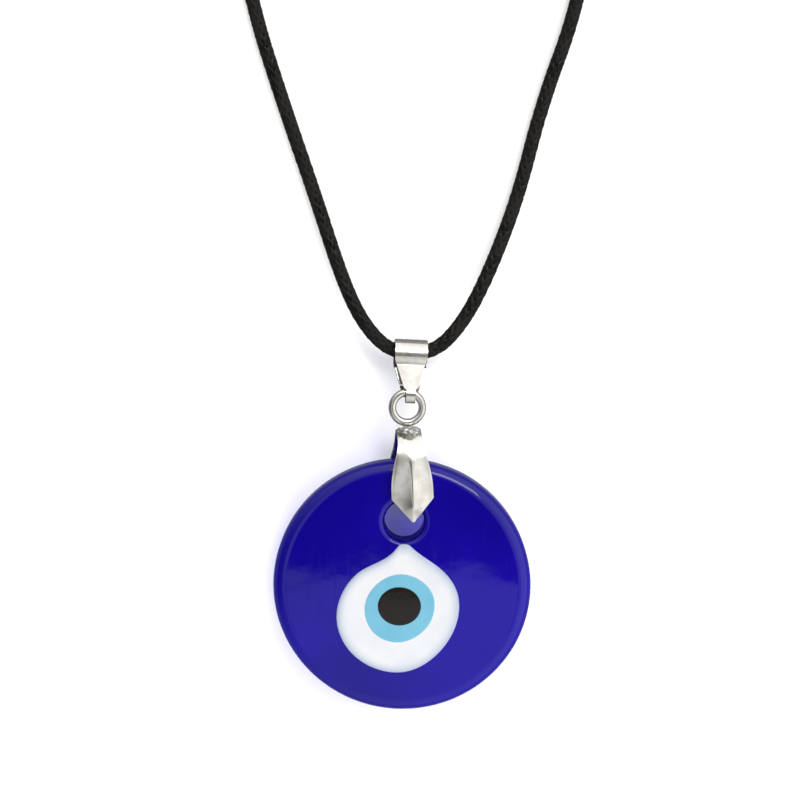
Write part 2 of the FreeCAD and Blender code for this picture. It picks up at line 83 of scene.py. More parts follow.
# ------------------------------------------------------------------ node trees
class Sketch:
    """Adds nodes to one tree and joins them."""

    def __init__(self, tree: bpy.types.NodeTree) -> None:
        """Keeps the tree that the nodes go in."""
        self.tree = tree

    def node(self, kind: str, sockets: Optional[dict] = None, **settings: object) -> bpy.types.Node:
        """Adds a node.

        Args:
            kind: The node's class.
            sockets: Values or sockets for its inputs, by name or number.
            **settings: The node's own properties.

        Returns:
            The new node.
        """
        made = self.tree.nodes.new(kind)
        for key, value in settings.items():
            setattr(made, key, value)
        for key, value in (sockets or {}).items():
            if isinstance(value, Socket):
                self.tree.links.new(value, made.inputs[key])
            else:
                made.inputs[key].default_value = value
        return made

    def math(self, operation: str, *values: Union[float, Socket]) -> Socket:
        """Adds a Math node and returns its result."""
        return self.node("ShaderNodeMath", dict(enumerate(values)), operation=operation).outputs[0]

    def spread(self, value: Socket, low: float, high: float, to_low: float = 0.0,
               to_high: float = 1.0) -> Socket:
        """Adds a clamped, smooth Map Range.

        Args:
            value: What is mapped.
            low: The input that gives to_low.
            high: The input that gives to_high.
            to_low: The lower result.
            to_high: The higher result.

        Returns:
            The mapped value.
        """
        sockets = {"Value": value, "From Min": low, "From Max": high, "To Min": to_low, "To Max": to_high}
        return self.node("ShaderNodeMapRange", sockets, interpolation_type="SMOOTHSTEP").outputs[0]

    def tint(self, share: Union[float, Socket], first: object, second: object) -> Socket:
        """Adds a colour Mix, share of the way from first to second, and returns its result."""
        made = self.node("ShaderNodeMix", {0: share, 6: rgba(first), 7: rgba(second)}, data_type="RGBA")
        return made.outputs[2]

    def group(self, tree: bpy.types.NodeTree, **sockets: object) -> bpy.types.Node:
        """Places a shared group.

        Args:
            tree: The group.
            **sockets: Values or sockets for its inputs, with _ for a space.

        Returns:
            The group's node.
        """
        made = self.node("ShaderNodeGroup", node_tree=tree)
        for key, value in sockets.items():
            socket = made.inputs[key.replace("_", " ")]
            if isinstance(value, Socket):
                self.tree.links.new(value, socket)
            else:
                socket.default_value = rgba(value)
        return made


def rgba(colour: object) -> object:
    """A three-number colour with its alpha; anything else unchanged."""
    return (*colour, 1.0) if isinstance(colour, tuple) and len(colour) == 3 else colour


class SharedGroups:
    """The shader node groups that more than one finish uses, each built once."""

    cloud_edges: tuple[float, float] = (0.36, 0.64)
    scratch_turns: tuple[float, float] = (0.5, -0.9)
    scratch_edges: tuple[float, float] = (0.60, 0.72)
    scratch_stretch: float = 0.05
    speck_edges: tuple[float, float] = (0.06, 0.14)
    specks_left_out: float = 0.7
    fine_wave_scale: float = 5.0

    def __init__(self) -> None:
        """Starts with no group built."""
        self.built: dict[str, bpy.types.NodeTree] = {}

    def get(self, name: str, inputs: dict[str, str], outputs: dict[str, str],
            draw: Callable[[Sketch, bpy.types.Node, bpy.types.Node], None]) -> bpy.types.NodeTree:
        """The group of that name, built when it is first asked for.

        Args:
            name: The group's name.
            inputs: Input names and what they hold: Float or Color.
            outputs: Output names and what they hold.
            draw: Adds the nodes between the group's two ends.

        Returns:
            The node group.
        """
        if name not in self.built:
            tree = bpy.data.node_groups.new(name, "ShaderNodeTree")
            for side, sockets in (("INPUT", inputs), ("OUTPUT", outputs)):
                for label, holds in sockets.items():
                    tree.interface.new_socket(label, in_out=side, socket_type="NodeSocket" + holds)
            sketch = Sketch(tree)
            draw(sketch, sketch.node("NodeGroupInput"), sketch.node("NodeGroupOutput"))
            self.built[name] = tree
        return self.built[name]

    def uneven_tone(self) -> bpy.types.NodeTree:
        """Two tones in soft cloudy patches: Colour and Mask."""
        def draw(sketch: Sketch, start: bpy.types.Node, end: bpy.types.Node) -> None:
            """Mixes the tones by a soft noise."""
            place = sketch.node("ShaderNodeTexCoord").outputs["Object"]
            clouds = sketch.node("ShaderNodeTexNoise", {
                "Vector": place, "Scale": start.outputs["Size"], "Detail": 3.0, "Roughness": 0.5,
            }).outputs[0]
            mask = sketch.spread(clouds, *self.cloud_edges)
            sketch.tree.links.new(mask, end.inputs["Mask"])
            sketch.tree.links.new(
                sketch.tint(mask, start.outputs["First"], start.outputs["Second"]), end.inputs["Colour"])
        return self.get("uneven_tone", {"First": "Color", "Second": "Color", "Size": "Float"},
                        {"Colour": "Color", "Mask": "Float"}, draw)

    def fine_scratches(self) -> bpy.types.NodeTree:
        """Hair scratches in two directions: Mask."""
        def draw(sketch: Sketch, start: bpy.types.Node, end: bpy.types.Node) -> None:
            """Takes the peaks of two stretched noises."""
            place = sketch.node("ShaderNodeTexCoord").outputs["Object"]
            lines = []
            for turn in self.scratch_turns:
                along = sketch.node("ShaderNodeMapping", {
                    "Vector": place, "Rotation": (0.3, 0.2, turn),
                    "Scale": (1.0, self.scratch_stretch, 1.0)}).outputs[0]
                grain = sketch.node("ShaderNodeTexNoise", {
                    "Vector": along, "Scale": start.outputs["Size"], "Detail": 2.0}).outputs[0]
                lines.append(sketch.spread(grain, *self.scratch_edges))
            both = sketch.math("MAXIMUM", *lines)
            sketch.tree.links.new(sketch.math("MULTIPLY", both, start.outputs["Amount"]), end.inputs["Mask"])
        return self.get("fine_scratches", {"Size": "Float", "Amount": "Float"}, {"Mask": "Float"}, draw)

    def dust(self) -> bpy.types.NodeTree:
        """Sparse specks of dust and pits: Mask."""
        def draw(sketch: Sketch, start: bpy.types.Node, end: bpy.types.Node) -> None:
            """Keeps a few of the cells' middles."""
            place = sketch.node("ShaderNodeTexCoord").outputs["Object"]
            cells = sketch.node("ShaderNodeTexVoronoi", {"Vector": place, "Scale": start.outputs["Size"]})
            speck = sketch.spread(cells.outputs["Distance"], *self.speck_edges, 1.0, 0.0)
            chosen = sketch.node("ShaderNodeSeparateColor", {0: cells.outputs["Color"]}).outputs[0]
            few = sketch.math("GREATER_THAN", chosen, self.specks_left_out)
            kept = sketch.math("MULTIPLY", speck, few)
            sketch.tree.links.new(sketch.math("MULTIPLY", kept, start.outputs["Amount"]), end.inputs["Mask"])
        return self.get("dust", {"Size": "Float", "Amount": "Float"}, {"Mask": "Float"}, draw)

    def slow_waves(self) -> bpy.types.NodeTree:
        """The gentle unevenness of a poured or hand-pressed surface: Height."""
        def draw(sketch: Sketch, start: bpy.types.Node, end: bpy.types.Node) -> None:
            """Adds a fine noise to a wide one."""
            place = sketch.node("ShaderNodeTexCoord").outputs["Object"]
            wide = sketch.node("ShaderNodeTexNoise", {
                "Vector": place, "Scale": start.outputs["Size"], "Detail": 1.0}).outputs[0]
            finer = sketch.math("MULTIPLY", start.outputs["Size"], self.fine_wave_scale)
            fine = sketch.node("ShaderNodeTexNoise", {
                "Vector": place, "Scale": finer, "Detail": 2.0}).outputs[0]
            part = sketch.math("MULTIPLY", fine, start.outputs["Fine"])
            sketch.tree.links.new(sketch.math("ADD", wide, part), end.inputs["Height"])
        return self.get("slow_waves", {"Size": "Float", "Fine": "Float"}, {"Height": "Float"}, draw)


GROUPS = SharedGroups()


def new_material(name: str) -> tuple[bpy.types.Material, Sketch, bpy.types.Node, bpy.types.Node]:
    """An empty node material.

    Args:
        name: The material's name.

    Returns:
        The material, its sketch, its Principled shader and its output node.
    """
    material = bpy.data.materials.new(name)
    material.use_nodes = True
    material.node_tree.nodes.clear()
    sketch = Sketch(material.node_tree)
    shader = sketch.node("ShaderNodeBsdfPrincipled")
    output = sketch.node("ShaderNodeOutputMaterial", {"Surface": shader.outputs[0]})
    return material, sketch, shader, output


# ------------------------------------------------------------------ finishes
@dataclass(frozen=True)
class Glass:
    """Melted opaque glass: clouded colour under a glossy, slightly wavy skin."""

    name: str
    deep: Colour
    pale: Colour
    edge: Colour
    patches: float = 90.0
    rough: float = 0.05
    waves: float = 0.2
    wave_size: float = 110.0
    fine_waves: float = 0.06
    gloss: float = 0.36
    ior: float = 1.5
    speck_size: float = 700.0
    specks: float = 0.5
    scratch_size: float = 1500.0
    scratches: float = 0.25
    worn_rough: float = 0.22
    wear_depth: float = 0.01
    lets_through: Optional[Colour] = None

    def material(self) -> bpy.types.Material:
        """Builds the node material.

        Returns:
            The material.
        """
        made, sketch, shader, output = new_material(self.name)
        clouds = sketch.group(GROUPS.uneven_tone(), First=self.deep, Second=self.pale, Size=self.patches)
        edge_tint_share = sketch.node("ShaderNodeAttribute", attribute_name="edge_tint_and_painted_shade").outputs["Fac"]
        # Towards a layer's edge the colour turns to edge: a real tint where the glass thins, and on the
        # white layer also painted shade where it rounds down
        colour = sketch.tint(edge_tint_share, clouds.outputs["Colour"], self.edge)
        specks = sketch.group(GROUPS.dust(), Size=self.speck_size, Amount=self.specks).outputs["Mask"]
        scratches = sketch.group(
            GROUPS.fine_scratches(), Size=self.scratch_size, Amount=self.scratches).outputs["Mask"]
        worn = sketch.math("MAXIMUM", specks, scratches)
        sketch.tree.links.new(colour, shader.inputs["Base Color"])
        rough = sketch.node("ShaderNodeMapRange", {
            "Value": worn, "To Min": self.rough, "To Max": self.worn_rough})
        sketch.tree.links.new(rough.outputs[0], shader.inputs["Roughness"])
        skin = sketch.group(GROUPS.slow_waves(), Size=self.wave_size, Fine=self.fine_waves).outputs["Height"]
        lowered = sketch.math("SUBTRACT", skin, sketch.math("MULTIPLY", worn, self.wear_depth))
        bump = sketch.node("ShaderNodeBump", {"Height": lowered, "Strength": self.waves, "Distance": MM})
        sketch.tree.links.new(bump.outputs[0], shader.inputs["Normal"])
        shader.inputs["IOR"].default_value = self.ior
        shader.inputs["Specular IOR Level"].default_value = self.gloss
        if self.lets_through is not None:
            lamp_ray = sketch.node("ShaderNodeLightPath").outputs["Is Shadow Ray"]
            clear = sketch.node("ShaderNodeBsdfTransparent", {"Color": rgba(self.lets_through)}).outputs[0]
            mixed = sketch.node("ShaderNodeMixShader", {0: lamp_ray, 1: shader.outputs[0], 2: clear})
            sketch.tree.links.new(mixed.outputs[0], output.inputs["Surface"])
        return made


@dataclass(frozen=True)
class Metal:
    """Plated or bare metal: cloudy tone, hair scratches and small dents."""

    name: str
    bright: Colour
    dull: Colour
    smooth: float = 0.16
    coarse: float = 0.34
    patches: float = 600.0
    dents: float = 0.15
    dent_size: float = 500.0
    fine_dents: float = 0.15
    dent_height: float = 0.3 * MM
    scratch_size: float = 2600.0
    scratches: float = 0.6
    speck_size: float = 1500.0
    specks: float = 0.8
    wear: float = 0.5
    wear_depth: float = 0.06

    def material(self) -> bpy.types.Material:
        """Builds the node material.

        Returns:
            The material.
        """
        made, sketch, shader, _ = new_material(self.name)
        tone = sketch.group(GROUPS.uneven_tone(), First=self.bright, Second=self.dull, Size=self.patches)
        scratches = sketch.group(
            GROUPS.fine_scratches(), Size=self.scratch_size, Amount=self.scratches).outputs["Mask"]
        specks = sketch.group(GROUPS.dust(), Size=self.speck_size, Amount=self.specks).outputs["Mask"]
        worn = sketch.math("MAXIMUM", specks, scratches)
        colour = sketch.tint(sketch.math("MULTIPLY", worn, self.wear), tone.outputs["Colour"], self.dull)
        sketch.tree.links.new(colour, shader.inputs["Base Color"])
        cloudy = sketch.math("MULTIPLY", tone.outputs["Mask"], 1 - self.wear)
        share = sketch.math("ADD", cloudy, sketch.math("MULTIPLY", worn, self.wear))
        rough = sketch.node("ShaderNodeMapRange", {
            "Value": share, "To Min": self.smooth, "To Max": self.coarse})
        sketch.tree.links.new(rough.outputs[0], shader.inputs["Roughness"])
        shader.inputs["Metallic"].default_value = 1.0
        skin = sketch.group(GROUPS.slow_waves(), Size=self.dent_size, Fine=self.fine_dents).outputs["Height"]
        lowered = sketch.math("SUBTRACT", skin, sketch.math("MULTIPLY", worn, self.wear_depth))
        bump = sketch.node("ShaderNodeBump", {
            "Height": lowered, "Strength": self.dents, "Distance": self.dent_height})
        sketch.tree.links.new(bump.outputs[0], shader.inputs["Normal"])
        return made


@dataclass(frozen=True)
class Wax:
    """Waxed, dyed cotton: nearly black yarn with fibre lines and patches of dull wax."""

    name: str
    yarn: Colour = (0.0016, 0.0014, 0.0012)
    bloom: Colour = (0.0080, 0.0073, 0.0064)
    sheen_level: float = 0.15
    patches: float = 420.0
    patch_edges: tuple[float, float] = (0.2, 0.8)
    smooth: float = 0.22
    coarse: float = 0.58
    fibres_around: float = 14.0
    fibres_along: float = 900.0
    fibre_edges: tuple[float, float] = (0.45, 0.75)
    fibre_strength: float = 0.5
    fibre_height: float = 0.05 * MM

    def material(self) -> bpy.types.Material:
        """Builds the node material.

        Returns:
            The material.
        """
        made, sketch, shader, _ = new_material(self.name)
        tone = sketch.group(GROUPS.uneven_tone(), First=self.yarn, Second=self.bloom, Size=self.patches)
        along = sketch.node("ShaderNodeAttribute", attribute_name="strand_along").outputs["Fac"]
        around = sketch.node("ShaderNodeAttribute", attribute_name="strand_around").outputs["Fac"]
        across = sketch.math("MULTIPLY", around, self.fibres_around)
        place = sketch.node("ShaderNodeCombineXYZ", {
            0: sketch.math("MULTIPLY", along, self.fibres_along), 1: across, 2: 0.0}).outputs[0]
        fibres = sketch.node("ShaderNodeTexNoise", {
            "Vector": place, "Scale": 1.0, "Detail": 3.0}).outputs[0]
        dulled = sketch.tint(sketch.spread(fibres, *self.fibre_edges), tone.outputs["Colour"], self.bloom)
        sketch.tree.links.new(dulled, shader.inputs["Base Color"])
        rough = sketch.spread(tone.outputs["Mask"], *self.patch_edges, self.smooth, self.coarse)
        sketch.tree.links.new(rough, shader.inputs["Roughness"])
        shader.inputs["Specular IOR Level"].default_value = self.sheen_level
        bump = sketch.node("ShaderNodeBump", {
            "Height": fibres, "Strength": self.fibre_strength, "Distance": self.fibre_height})
        sketch.tree.links.new(bump.outputs[0], shader.inputs["Normal"])
        return made


@dataclass(frozen=True)
class TableTop:
    """A matt pale board with the faintest mottling, and a painted darker reflection: glossy rays see it in
    the mirrored grey.
    """

    name: str = "table_board"
    pale: Colour = (0.96, 0.96, 0.96)
    shade: Colour = (0.95, 0.95, 0.95)
    mirrored: Colour = (0.2, 0.2, 0.2)
    patches: float = 14.0
    rough: float = 0.75
    gloss: float = 0.2

    def material(self) -> bpy.types.Material:
        """Builds the node material.

        Returns:
            The material.
        """
        made, sketch, shader, _ = new_material(self.name)
        tone = sketch.group(GROUPS.uneven_tone(), First=self.pale, Second=self.shade, Size=self.patches)
        # Painted reflection: glossy rays see the board in the darker mirrored colour, not its own
        gloss_ray = sketch.node("ShaderNodeLightPath").outputs["Is Glossy Ray"]
        seen = sketch.tint(gloss_ray, tone.outputs["Colour"], self.mirrored)
        sketch.tree.links.new(seen, shader.inputs["Base Color"])
        shader.inputs["Roughness"].default_value = self.rough
        shader.inputs["Specular IOR Level"].default_value = self.gloss
        return made


COBALT = Glass("cobalt_glass", (0.0025, 0.0003, 0.151), (0.0054, 0.0010, 0.203), (0.003, 0.001, 0.12),
               patches=60.0, rough=0.02, waves=0.03, lets_through=(0.0, 0.0, 0.85))
# The white's bluish-grey edge colour is partly the blue under thin glass and partly painted shade along the
# rounded edge
WHITE = Glass("white_glass", (0.488, 0.503, 0.53), (0.532, 0.535, 0.549), (0.24, 0.285, 0.40),
              patches=260.0, waves=0.06)
LIGHT_BLUE = Glass("light_blue_glass", (0.110, 0.310, 0.427), (0.126, 0.333, 0.441), (0.17, 0.38, 0.47),
                   patches=220.0, waves=0.06)
DARK = Glass("dark_glass", (0.004, 0.0034, 0.003), (0.006, 0.005, 0.0045), (0.012, 0.02, 0.024),
             patches=220.0, waves=0.06)
NICKEL = Metal("nickel_plate", (0.72, 0.706, 0.668), (0.60, 0.585, 0.545), dents=0.05, dent_size=300.0)
CROWN_SOLDER = Metal("solder", (0.80, 0.79, 0.76), (0.56, 0.55, 0.53), smooth=0.24, coarse=0.55,
                     patches=2200.0, dents=0.9, dent_size=2000.0)
STEEL = Metal("spring_steel", (0.56, 0.56, 0.57), (0.42, 0.42, 0.43), smooth=0.2, coarse=0.4)
BLACK_WAX = Wax("waxed_cotton")


# ------------------------------------------------------------------ small tools
def link_mesh(name: str, points: Sequence[Vector], faces: Iterable[Sequence[int]]) -> bpy.types.Object:
    """A new smooth-shaded mesh object.

    Args:
        name: The object's name.
        points: Its vertices in metres.
        faces: Its faces as vertex numbers, facing outwards.

    Returns:
        The linked object.
    """
    mesh = bpy.data.meshes.new(name)
    mesh.from_pydata([tuple(p) for p in points], [], list(faces))
    mesh.polygons.foreach_set("use_smooth", [True] * len(mesh.polygons))
    made = bpy.data.objects.new(name, mesh)
    bpy.context.scene.collection.objects.link(made)
    return made


def grid_faces(rows: int, columns: int) -> list[tuple[int, int, int, int]]:
    """The quads of an open grid whose points run along its columns first.

    Args:
        rows: How many quads it has one way.
        columns: How many it has the other way.

    Returns:
        The faces as vertex numbers.
    """
    n = columns + 1
    return [(j * n + i, j * n + i + 1, (j + 1) * n + i + 1, (j + 1) * n + i)
            for j in range(rows) for i in range(columns)]


def evaluated_mesh(piece: bpy.types.Object) -> bpy.types.Mesh:
    """A new plain mesh of a curve, or of a piece with its modifiers worked out.

    Args:
        piece: The linked object.

    Returns:
        The mesh.
    """
    bpy.context.view_layer.update()
    graph = bpy.context.evaluated_depsgraph_get()
    return bpy.data.meshes.new_from_object(piece.evaluated_get(graph))


def set_material(piece: bpy.types.Object, material: bpy.types.Material) -> None:
    """Makes the material the only one on the piece.

    Args:
        piece: A mesh object.
        material: Its finish.
    """
    if not piece.material_slots:
        piece.data.materials.append(material)
    for held in piece.material_slots:
        held.material = material


def dress(names: Iterable[str], material: bpy.types.Material) -> None:
    """Gives CAD nodes a finish.

    Args:
        names: The nodes.
        material: Their new material.
    """
    for name in names:
        set_material(frame["nodes"][name], material)
        LOG.info("%s dressed in %s", name, material.name)


# ------------------------------------------------------------------ studio
@dataclass
class Softbox:
    """A rectangular diffused lamp aimed at the disc, shown in reflections only if mirrored."""

    name: str
    at: tuple[float, float, float]
    wide: float
    tall: float
    radiance: float
    mirrored: bool = False
    aim: tuple[float, float, float] = (0.0, 0.01, 0.0)

    def build(self) -> bpy.types.Object:
        """Adds the lamp.

        Returns:
            The lamp's object.
        """
        lamp = bpy.data.lights.new(self.name, "AREA")
        lamp.shape = "RECTANGLE"
        lamp.size, lamp.size_y = self.wide, self.tall
        lamp.energy = self.radiance * math.pi * self.wide * self.tall
        made = bpy.data.objects.new(self.name, lamp)
        made.location = self.at
        made.rotation_euler = (Vector(self.aim) - Vector(self.at)).to_track_quat("-Z", "Y").to_euler()
        made.visible_camera = False
        made.visible_glossy = self.mirrored
        bpy.context.scene.collection.objects.link(made)
        return made


@dataclass
class Studio:
    """Camera straight overhead, pale table, soft room light and four softboxes."""

    seen: float = 93.24 * MM
    over: tuple[float, float] = (-0.23 * MM, 14.34 * MM)
    height: float = 330.0 * MM
    focus: float = 4.5 * MM
    sensor: float = 36.0
    table: float = 3.0
    wall: float = 0.80
    ceiling: float = 0.07
    left: float = 0.12
    right: float = 1.35
    front: float = 1.0
    back: float = 1.45
    even_over: tuple[float, float] = (0.45, 0.88)
    dim_half_wide: tuple[float, float] = (0.14, 0.28)
    dim_near: tuple[float, float] = (-0.2150, -0.2090)
    dim_far: tuple[float, float] = (0.0, 0.70)
    sag: float = 2.6
    flattest: float = 0.001
    tone: Colour = (1.0, 0.995, 0.985)
    board_steps: int = 12
    boxes: tuple[Softbox, ...] = (
        Softbox("softbox_right", (0.80, 0.15, 0.42), 0.50, 0.80, 2.9),
        Softbox("softbox_top", (0.20, 0.47, 0.68), 0.50, 0.25, 6.2, mirrored=True),
        Softbox("softbox_left", (-0.80, 0.10, 0.36), 0.40, 0.60, 4.9),
        Softbox("softbox_front", (0.10, -0.80, 0.42), 0.80, 0.45, 5.6),
    )

    def camera(self) -> bpy.types.Object:
        """Adds the camera and makes it the scene's.

        Returns:
            The camera's object.
        """
        data = bpy.data.cameras.new("overhead")
        data.sensor_width = self.sensor
        data.lens = self.sensor * (self.height - self.focus) / self.seen
        data.clip_start, data.clip_end = 0.01, 20.0
        made = bpy.data.objects.new("overhead", data)
        made.location = (*self.over, self.height)
        bpy.context.scene.collection.objects.link(made)
        bpy.context.scene.camera = made
        return made

    def room(self) -> None:
        """Paints the room: even overhead, walls that differ by direction, and a dim stretch of ceiling."""
        world = bpy.data.worlds.new("room")
        bpy.context.scene.world = world
        world.use_nodes = True
        world.node_tree.nodes.clear()
        sketch = Sketch(world.node_tree)
        way = sketch.node("ShaderNodeTexCoord").outputs["Generated"]
        x, y, z = sketch.node("ShaderNodeSeparateXYZ", {0: way}).outputs
        up = sketch.math("MAXIMUM", z, self.flattest)
        slope_x, slope_y = sketch.math("DIVIDE", x, up), sketch.math("DIVIDE", y, up)
        across = sketch.math("MULTIPLY", slope_x, slope_x)
        along = sketch.math("MULTIPLY", slope_y, slope_y)
        slope = sketch.math("SQRT", sketch.math("ADD", across, along))
        compass = [sketch.math("DIVIDE", part, sketch.math("MAXIMUM", slope, self.flattest))
                   for part in (slope_x, slope_y)]
        walls = 0.0
        for part, sign, bright in ((compass[0], 1, self.right), (compass[0], -1, self.left),
                                   (compass[1], 1, self.back), (compass[1], -1, self.front)):
            facing = sketch.math("MAXIMUM", sketch.math("MULTIPLY", part, sign), 0.0)
            share = sketch.math("MULTIPLY", sketch.math("MULTIPLY", facing, facing), bright)
            walls = sketch.math("ADD", share, walls)
        rise = sketch.spread(slope, *self.even_over)
        upper = sketch.math("MULTIPLY", sketch.math("SUBTRACT", walls, self.wall), rise)
        room = sketch.math("ADD", upper, self.wall)
        sides = sketch.spread(sketch.math("ABSOLUTE", slope_x), *self.dim_half_wide, 1.0, 0.0)
        edge = sketch.math("ADD", slope_y, sketch.math("MULTIPLY", across, self.sag))
        near = sketch.spread(edge, *self.dim_near)
        far = sketch.spread(slope_y, *self.dim_far, 1.0, 0.0)
        dim = sketch.math("MULTIPLY", sides, sketch.math("MULTIPLY", near, far))
        level = sketch.math("ADD", room, sketch.math(
            "MULTIPLY", dim, sketch.math("SUBTRACT", self.ceiling, room)))
        light = sketch.node("ShaderNodeBackground", {"Color": rgba(self.tone), "Strength": level})
        sketch.node("ShaderNodeOutputWorld", {"Surface": light.outputs[0]})

    def build(self) -> None:
        """Adds the camera, the table, the room's light and the softboxes."""
        self.camera()
        self.room()
        for box in self.boxes:
            box.build()
        half, steps = self.table / 2, self.board_steps
        side = [-half + self.table * i / steps for i in range(steps + 1)]
        points = [Vector((x, y, 0.0)) for y in side for x in side]
        board = link_mesh("table_board", points, grid_faces(steps, steps))
        set_material(board, TableTop().material())
        bpy.context.scene.view_settings.view_transform = "Standard"


# ------------------------------------------------------------------ cord
@dataclass
class WaxedCord:
    """The braided cord: one route through the bail, a coil each side, and the tails to the closure."""

    diameter: float = 1.7 * MM
    length: float = 426.0 * MM
    coil_radius: float = 9.0
    coil_turns: int = 2
    coil_pitch: float = 1.74
    per_turn: int = 12
    floor: float = 0.85
    pairs: int = 6
    twist_pitch: float = 8.4 * MM
    strand: float = 0.30 * MM
    seat: float = 0.54 * MM
    weave: float = 0.03 * MM
    core: float = 0.58 * MM
    step: float = 0.42 * MM
    strand_sides: int = 6
    core_sides: int = 8
    curve_steps: int = 16
    left_run: tuple = (
        (-19.4, 71.0, 0.85), (-17.6, 60.6, 0.85), (-13.9, 49.0, 0.85), (-10.15, 38.2, 0.9),
        (-7.1, 28.7, 1.6), (-4.55, 23.2, 2.4), (-1.15, 19.8, 2.8),
    )
    right_run: tuple = (
        (3.65, 19.8, 2.5), (7.05, 23.2, 2.2), (10.0, 28.7, 1.5), (13.7, 38.2, 0.9),
        (16.4, 49.0, 0.85), (20.7, 60.6, 0.85), (22.2, 71.0, 0.85),
    )
    left_tail: tuple = (
        (-19.4, 88.0, 4.2), (-16.7, 96.0, 3.6), (-10.4, 102.5, 2.7), (-3.4, 105.0, 2.02), (3.6, 105.0, 2.02),
    )
    right_tail: tuple = (
        (22.2, 86.5, 4.2), (20.0, 91.0, 3.5), (15.0, 92.9, 2.7), (9.5, 92.9, 2.02), (4.2, 93.0, 2.02),
    )
    left_coil: tuple[float, float] = (-10.4, 79.0)
    right_coil: tuple[float, float] = (13.2, 79.0)

    def coil(self, centre: tuple[float, float], side: int) -> list[tuple[float, float, float]]:
        """The control points of a coil's turns, from the table up.

        Args:
            centre: The coil's middle.
            side: -1 for the left coil, wound clockwise, and 1 for the right one.

        Returns:
            Points in millimetres.
        """
        step = 2 * math.pi / self.per_turn
        reach = self.coil_radius / math.cos(step / 2)
        count = self.coil_turns * self.per_turn
        points = []
        for i in range(count):
            swept = (i + 0.5) * step
            x = centre[0] + side * reach * math.cos(swept)
            y = centre[1] + reach * math.sin(swept)
            points.append((x, y, self.floor + self.coil_pitch * swept / (2 * math.pi)))
        return points

    def route(self) -> list[Vector]:
        """The spline's control points from the left tail's end to the right one's.

        Returns:
            Points in metres.
        """
        left = self.coil(self.left_coil, -1)[::-1]
        right = self.coil(self.right_coil, 1)
        points = [*self.left_tail[::-1], *left, *self.left_run, *self.right_run, *right, *self.right_tail]
        return [Vector(p) * MM for p in points]

    def centreline(self) -> list[Vector]:
        """Points read along the cord's one smooth spline.

        Returns:
            Points in metres.
        """
        points = self.route()
        curve = bpy.data.curves.new("cord_route", "CURVE")
        curve.dimensions = "3D"
        curve.resolution_u = self.curve_steps
        spline = curve.splines.new("NURBS")
        spline.points.add(len(points) - 1)
        for held, point in zip(spline.points, points):
            held.co = (*point, 1.0)
        spline.order_u = 3
        spline.use_endpoint_u = True
        carrier = bpy.data.objects.new("cord_route", curve)
        bpy.context.scene.collection.objects.link(carrier)
        line = evaluated_mesh(carrier)
        path = [v.co.copy() for v in line.vertices]
        bpy.data.objects.remove(carrier)
        bpy.data.meshes.remove(line)
        return path

    def braid_tree(self, wax: bpy.types.Material) -> bpy.types.NodeTree:
        """Geometry nodes that plait strands round a line of edges.

        Args:
            wax: The strands' material.

        Returns:
            The tree, with the braid's sizes as named inputs.
        """
        tree = bpy.data.node_groups.new("braid_round_line", "GeometryNodeTree")
        for label, holds in (("Line", "Geometry"), ("Step", "Float"), ("Pairs", "Int"),
                             ("Twist Pitch", "Float"), ("Strand Radius", "Float"), ("Seat", "Float"),
                             ("Weave", "Float"), ("Core Radius", "Float")):
            tree.interface.new_socket(label, in_out="INPUT", socket_type="NodeSocket" + holds)
        tree.interface.new_socket("Braid", in_out="OUTPUT", socket_type="NodeSocketGeometry")
        sketch = Sketch(tree)
        given = sketch.node("NodeGroupInput").outputs
        line = sketch.node("GeometryNodeMeshToCurve", {"Mesh": given["Line"]}).outputs[0]
        line = sketch.node("GeometryNodeResampleCurve", {
            "Curve": line, "Length": given["Step"]}, mode="LENGTH").outputs[0]
        count = sketch.math("MULTIPLY", given["Pairs"], 2.0)
        copies = sketch.node("GeometryNodeDuplicateElements", {
            "Geometry": line, "Amount": count}, domain="SPLINE")
        number = copies.outputs["Duplicate Index"]
        way = sketch.math("SUBTRACT", 1.0, sketch.math("MULTIPLY", sketch.math("MODULO", number, 2.0), 2.0))
        pair = sketch.math("FLOOR", sketch.math("DIVIDE", number, 2.0))
        start = sketch.math("MULTIPLY", sketch.math("DIVIDE", pair, given["Pairs"]), 2 * math.pi)
        along = sketch.node("GeometryNodeSplineParameter").outputs["Length"]
        turned = sketch.math("MULTIPLY", sketch.math("DIVIDE", along, given["Twist Pitch"]), 2 * math.pi)
        angle = sketch.math("ADD", sketch.math("MULTIPLY", turned, way), start)
        over = sketch.math("COSINE", sketch.math("MULTIPLY", turned, given["Pairs"]))
        lift = sketch.math("MULTIPLY", sketch.math("MULTIPLY", over, way), given["Weave"])
        radius = sketch.math("ADD", given["Seat"], lift)
        normal = sketch.node("GeometryNodeInputNormal").outputs[0]
        tangent = sketch.node("GeometryNodeInputTangent").outputs[0]
        side = sketch.node("ShaderNodeVectorMath", {
            0: tangent, 1: normal}, operation="CROSS_PRODUCT").outputs[0]
        parts = []
        for axis, wave in ((normal, "COSINE"), (side, "SINE")):
            reach = sketch.math("MULTIPLY", sketch.math(wave, angle), radius)
            parts.append(sketch.node("ShaderNodeVectorMath", {
                0: axis, "Scale": reach}, operation="SCALE").outputs[0])
        shift = sketch.node("ShaderNodeVectorMath", {0: parts[0], 1: parts[1]}, operation="ADD").outputs[0]
        strands = sketch.node("GeometryNodeStoreNamedAttribute", {
            "Geometry": copies.outputs["Geometry"], "Name": "strand_along", "Value": along},
            data_type="FLOAT", domain="POINT").outputs[0]
        strands = sketch.node("GeometryNodeSetPosition", {"Geometry": strands, "Offset": shift}).outputs[0]
        tubes = []
        for path, size, sides in ((strands, given["Strand Radius"], self.strand_sides),
                                  (line, given["Core Radius"], self.core_sides)):
            ring = sketch.node("GeometryNodeCurvePrimitiveCircle", {
                "Resolution": sides, "Radius": size}).outputs[0]
